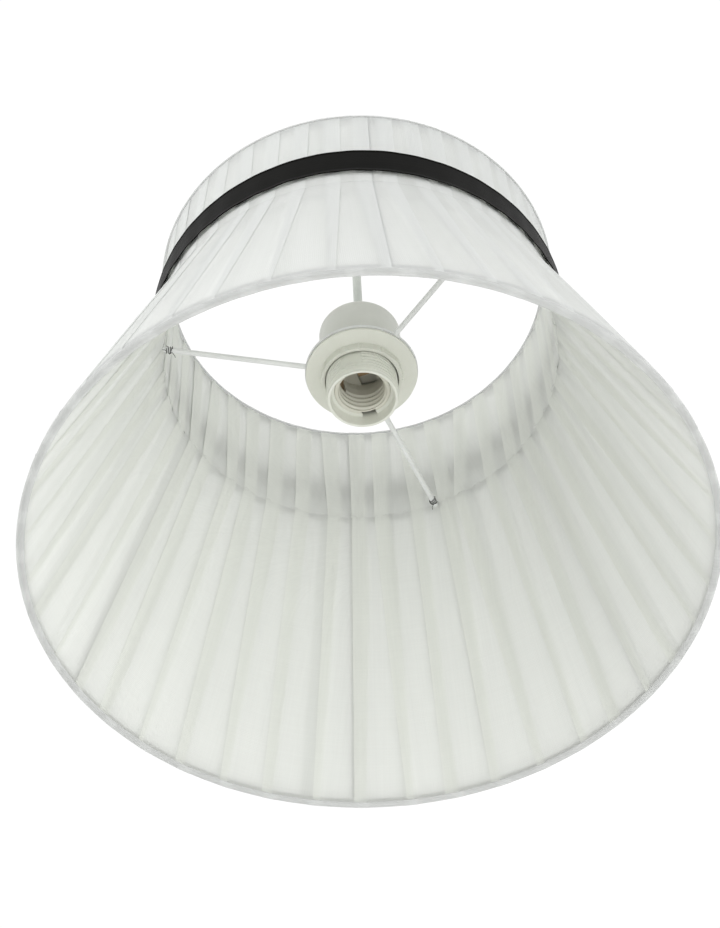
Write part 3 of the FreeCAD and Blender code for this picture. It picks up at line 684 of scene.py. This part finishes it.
def make_ribbon():
    """Satin ribbon pulled round the waist, with thicker woven edges and a lapped end."""
    z0, z1 = low("waist_ribbon").z, high("waist_ribbon").z
    slant = (WAIST_R - TOP_R) / (TOP - WAIST)
    r0 = WAIST_R - slant * (z0 - WAIST) + 0.0002
    cloth, bead = 0.0004, 0.00018
    outline = dense([Vector(p) for p in (
        (r0, z0), (r0 + cloth + bead, z0), (r0 + cloth + bead, z0 + 0.0006),
        (r0 + cloth, z0 + 0.0009), (r0 + cloth, z1 - 0.0009),
        (r0 + cloth + bead, z1 - 0.0006), (r0 + cloth + bead, z1), (r0, z1))], 0.0015)
    lap = math.radians(96)

    def warp(r, z, a):
        up = (z - z0) / (z1 - z0)
        r += 0.0001 * math.sin(PLEATS * a + 2 * ripple(a, 2.0)) * (1 - up * 0.5)
        r += 0.00012 * ripple(a, 5.0) - (z - z0) * slant
        z += 0.00035 * ripple(a, 3.0) + 0.00025 * (1 - up) * ripple(3 * a, 4.0)
        r += 0.0005 * smooth_step(1 - abs(a - lap) / math.radians(4)) ** 0.25
        return r, z
    obj = lathe("satin_ribbon", outline, 720, RIBBON, "shade", warp)
    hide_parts("waist_ribbon")


make_ribbon()


def make_stitches():
    """The running stitch that ties the lining to the waist ring."""
    rnd = random.Random(41)
    runs = []
    r, thick = LINING_WAIST_R - 0.0017, 0.00012
    for i in range(PLEATS):
        a = FIRST_FOLD + TURN * (i + rnd.uniform(-0.3, 0.3)) / PLEATS
        span = rnd.uniform(0.0030, 0.0056) / LINING_WAIST_R
        z = LINING_WAIST + rnd.uniform(-0.0004, 0.0004)
        tilt = rnd.uniform(-0.0003, 0.0003)
        path = [polar(r + 0.0009 * abs(t) ** 3, a + span * t / 2, z + tilt * t)
                for t in (-1, -0.6, -0.2, 0.2, 0.6, 1)]
        runs.append((path, thick))
    tubes("waist_stitches", runs, STITCH, "shade")


make_stitches()


def make_lashing(index):
    """Thin dark wire wound over the arm's end, with a crossing turn and two loose ends."""
    node = f"arm_lashing_{index}"
    rnd = random.Random(50 + index)
    centre = (low(node) + high(node)) / 2
    a = math.atan2(centre.y, centre.x)
    out, side, up = (Vector((math.cos(a), math.sin(a), 0)),
                     Vector((-math.sin(a), math.cos(a), 0)), Vector((0, 0, 1)))
    turns, radius, wire, loose = 3, 0.0018, 0.0002, 0.0016
    inner, outer = -0.0016, 0.0018       # the lashing's ends, along the arm from its middle
    per_turn = 14

    def wound(count, start, end, r0, lean):
        """count turns about the arm, from start to end along it; lean is the first angle."""
        path = []
        steps = count * per_turn
        for k in range(steps + 1):
            t = k / steps
            angle = TURN * count * t + lean
            r = r0 + 0.00012 * math.sin(5 * angle)
            path.append(centre + out * (start + (end - start) * t)
                        + side * math.cos(angle) * r + up * math.sin(angle) * r)
        return path
    runs = [(wound(turns, inner, outer, radius, rnd.uniform(0, 6)), wire),
            (wound(1, outer, inner, radius + 0.0003, rnd.uniform(0, 6)), wire)]
    for lean in (0.9, -0.8):
        start = centre - up * (radius + 0.0002) + out * 0.0012 * lean
        path = [start + out * loose * t * lean - up * 0.0004 * t
                + side * (0.0011 * t * (1 if lean > 0 else -1) + 0.0005 * math.sin(2 * t))
                for t in (0, 0.5, 1, 1.5, 2)]
        runs.append((path, wire * 0.8))
    obj = tubes(f"lashing_{index}", runs, TIE_WIRE, "shade")
    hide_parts(node)


for number in (1, 2, 3):
    make_lashing(number)


# ---- lampholder ----------------------------------------------------------------------------

THREAD_PITCH = 0.0025                    # of the shade ring's thread
LAMP_PITCH = 0.0036                      # of the lamp's thread
NOTCH = math.radians(78)                 # the notch in the holder's floor
NOTCH_HALF = 0.0042                      # half its width
SIDE_CONTACT = math.radians(150)         # where the side contact stands


def near_angle(a, target):
    """Angle from target to a, folded to -pi..pi."""
    return (a - target + math.pi) % TURN - math.pi


def root(turns):
    """A thread's section: 1 at the root, 0 over the crest; turns counts along the axis."""
    return smooth_step(1 - abs(turns % 1 - 0.5) / 0.34)


def make_shade_ring():
    """Retaining ring: a dished flange and twelve flat grips, with a thread in its bore."""
    z0, z1 = low("shade_ring").z, high("shade_ring").z
    wide = high("shade_ring").x
    shelf, edge = z1 - 0.0024, z1 - 0.0015
    bore, grip, grips = 0.0203, 0.0226, 12
    outline = dense(rounded([(bore, z0), (grip, z0), (grip, shelf), (wide, edge), (wide, z1),
                             (bore, z1)], 0.0005), 0.0005, lambda p: p.x < bore + 0.0001)
    step = TURN / grips

    def warp(r, z, a):
        if r < bore + 0.0003:
            return r - 0.0003 * (1 - root(z / THREAD_PITCH - a / TURN)), z
        if z < shelf + 0.0002 and r <= grip + 0.0001:
            part = (a % step) - step / 2
            flat = grip * (0.5 + 0.5 * math.cos(step / 2) / math.cos(part))
            joint = 0.0005 * smooth_step(1 - (step / 2 - abs(part)) / math.radians(2))
            return min(r, flat) - joint * (r - bore) / (grip - bore), z
        return r, z
    obj = lathe("threaded_ring", outline, 480, HOLDER, "clamp_ring", warp, 0.5)
    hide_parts("shade_ring")


def make_holder():
    """Outer skirt: a thread outside that flats interrupt, a lip, and a floor with a notch."""
    z0, z1 = low("holder_skirt").z, high("holder_skirt").z
    neck = low("holder_cap").z - 0.0003
    thread_r, lip, inner, floor_r = high("holder_skirt").x, 0.0190, 0.0173, 0.01515
    floor = low("thread_sleeve").z + 0.0002
    start, whole, deep = z0 + 0.0016, z0 + 0.0068, 0.0008
    bands, half_band = [math.radians(-62 + 90 * k) for k in range(4)], math.radians(24)
    outline = dense(rounded([
        (inner + 0.0002, z0), (lip, z0), (lip, start), (thread_r, start + 0.0004),
        (thread_r, neck), (thread_r - 0.0004, neck),
        (thread_r - 0.0004, z1), (inner, z1), (inner, floor + 0.002), (floor_r, floor + 0.002),
        (floor_r, floor), (inner - 0.0002, floor)], 0.0004), 0.00025,
        lambda p: p.x > thread_r - 0.0001)

    def warp(r, z, a):
        if r > thread_r - 0.0002 and z < neck - 0.001:
            off = min(abs(near_angle(a, band)) for band in bands) - half_band
            cut = max(1 - smooth_step(off / math.radians(5)),
                      1 - smooth_step((z - whole) / 0.0008)) * smooth_step((z - start) / 0.0008)
            flat = 0.0002 * (1 - cut)
            return r - flat - deep * cut * root((z - z0) / THREAD_PITCH - a / TURN), z
        if r < inner - 0.0001 and z < floor + 0.0022:
            if abs(near_angle(a, NOTCH)) * inner < NOTCH_HALF:
                return inner - 0.0001, z
        return r, z
    obj = lathe("threaded_skirt", outline, 480, HOLDER, "pendant", warp, 0.55)
    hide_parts("holder_skirt")


def make_sleeve():
    """Inner sleeve with the rounded lamp thread, and a groove for the side contact."""
    z0, z1 = low("thread_sleeve").z, high("thread_sleeve").z
    wall = high("thread_sleeve").x
    bore, deep, step, thread_top = 0.0133, 0.0010, 0.0198, 0.0160
    groove, notch_r, notch_deep = 0.0016, 0.0139, 0.0022
    outline = dense(rounded([(bore, z0), (notch_r, z0), (notch_r + 0.00005, z0), (wall, z0),
                             (wall, z1), (bore + 0.0009, z1), (bore + 0.0009, z0 + step),
                             (bore, z0 + step)], 0.0004), 0.0003,
                    lambda p: p.x < bore + 0.0001)

    def warp(r, z, a):
        up = z - z0
        if r > notch_r and up < notch_deep and abs(near_angle(a, NOTCH)) * wall < NOTCH_HALF:
            return r, z0 + notch_deep
        if r > bore + 0.001:
            return r, z
        if up > 0.0122 and abs(near_angle(a, SIDE_CONTACT)) * bore < 0.0034:
            return bore + groove, z
        if r < bore + 0.0002:
            fade = smooth_step((up - 0.0004) / 0.0012) * smooth_step((thread_top - up) / 0.0012)
            r -= deep * (1 - root(up / LAMP_PITCH - a / TURN + 0.5)) * fade
        return r, z
    obj = lathe("lamp_thread", outline, 360, SLEEVE, "pendant", warp, 0.7)
    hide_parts("thread_sleeve")


make_shade_ring()
make_holder()
make_sleeve()


# ---- materials of the CAD nodes that stay --------------------------------------------------

FINISH = {
    WIRE: ["spider_hub"] + [f"spider_arm_{i}" for i in range(1, 4)],
    # painted shade: the frame wires take FRAME_WIRE's dark grey
    FRAME_WIRE: ["bottom_ring", "waist_ring", "top_ring"] + [f"strut_{i}" for i in range(1, 7)],
    HOLDER: ["cord_grip"],
    CAP: ["holder_cap"],
    SLEEVE: ["contact_block"],
    BRASS: ["centre_contact", "side_contact", "terminal_live", "terminal_neutral"],
    SCREW: ["terminal_screws", "cord_grip_screw", "terminal_block_screws", "cup_screw"],
    BROWN: ["core_live", "mains_core_live"],
    BLUE: ["core_neutral", "mains_core_neutral"],
    ZINC: ["ceiling_bracket", "ceiling_hook"],
    CUP: ["ceiling_cup", "cup_grip", "cord_hanger"],
    TERMINAL: ["terminal_block"],
}
for material, nodes in FINISH.items():
    for node in nodes:
        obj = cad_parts[node]
        obj.data.materials.clear()
        obj.data.materials.append(material)


# ---- floor and light -----------------------------------------------------------------------

def make_floor():
    """A pale floor below the camera."""
    half, level = 6, -1.75
    points = [(-half, -half, level), (half, -half, level), (half, half, level),
              (-half, half, level)]
    mesh = bpy.data.meshes.new("floor")
    mesh.from_pydata(points, [], [(0, 1, 2, 3)])
    n = Nodes("pale_floor")
    speck = n.noise(n.place(), 40, 4.0)
    mesh.materials.append(n.done(n.principled(n.ramp(speck, (0.80, 0.80, 0.79), (0.84, 0.84, 0.83)),
                                              0.8)))
    link(bpy.data.objects.new("floor", mesh))


def area_light(name, place, target, size, power):
    """A round light of a size in metres and a power in watts, turned to target."""
    data = bpy.data.lights.new(name, "AREA")
    data.shape = "DISK"
    data.size = size
    data.energy = power
    light = link(bpy.data.objects.new(name, data))
    light.location = place
    light.rotation_mode = "QUATERNION"
    light.rotation_quaternion = (Vector(target) - Vector(place)).to_track_quat("-Z", "Y")


def make_light():
    """A white room, and two soft lights that give the pleats and the holder some shape."""
    world = bpy.data.worlds.new("studio")
    world.use_nodes = True
    background = world.node_tree.nodes["Background"]
    background.inputs["Color"].default_value = (1, 1, 1, 1)
    background.inputs["Strength"].default_value = 1.04
    bpy.context.scene.world = world
    area_light("key", (-1.6, -0.7, 0.0), (0, 0, -0.3), 1.2, 8)
    area_light("fill", (0.95, -0.9, -1.45), (-0.05, 0, -0.26), 1.2, 8)


make_floor()
make_light()
bpy.context.scene.view_settings.view_transform = "Standard"
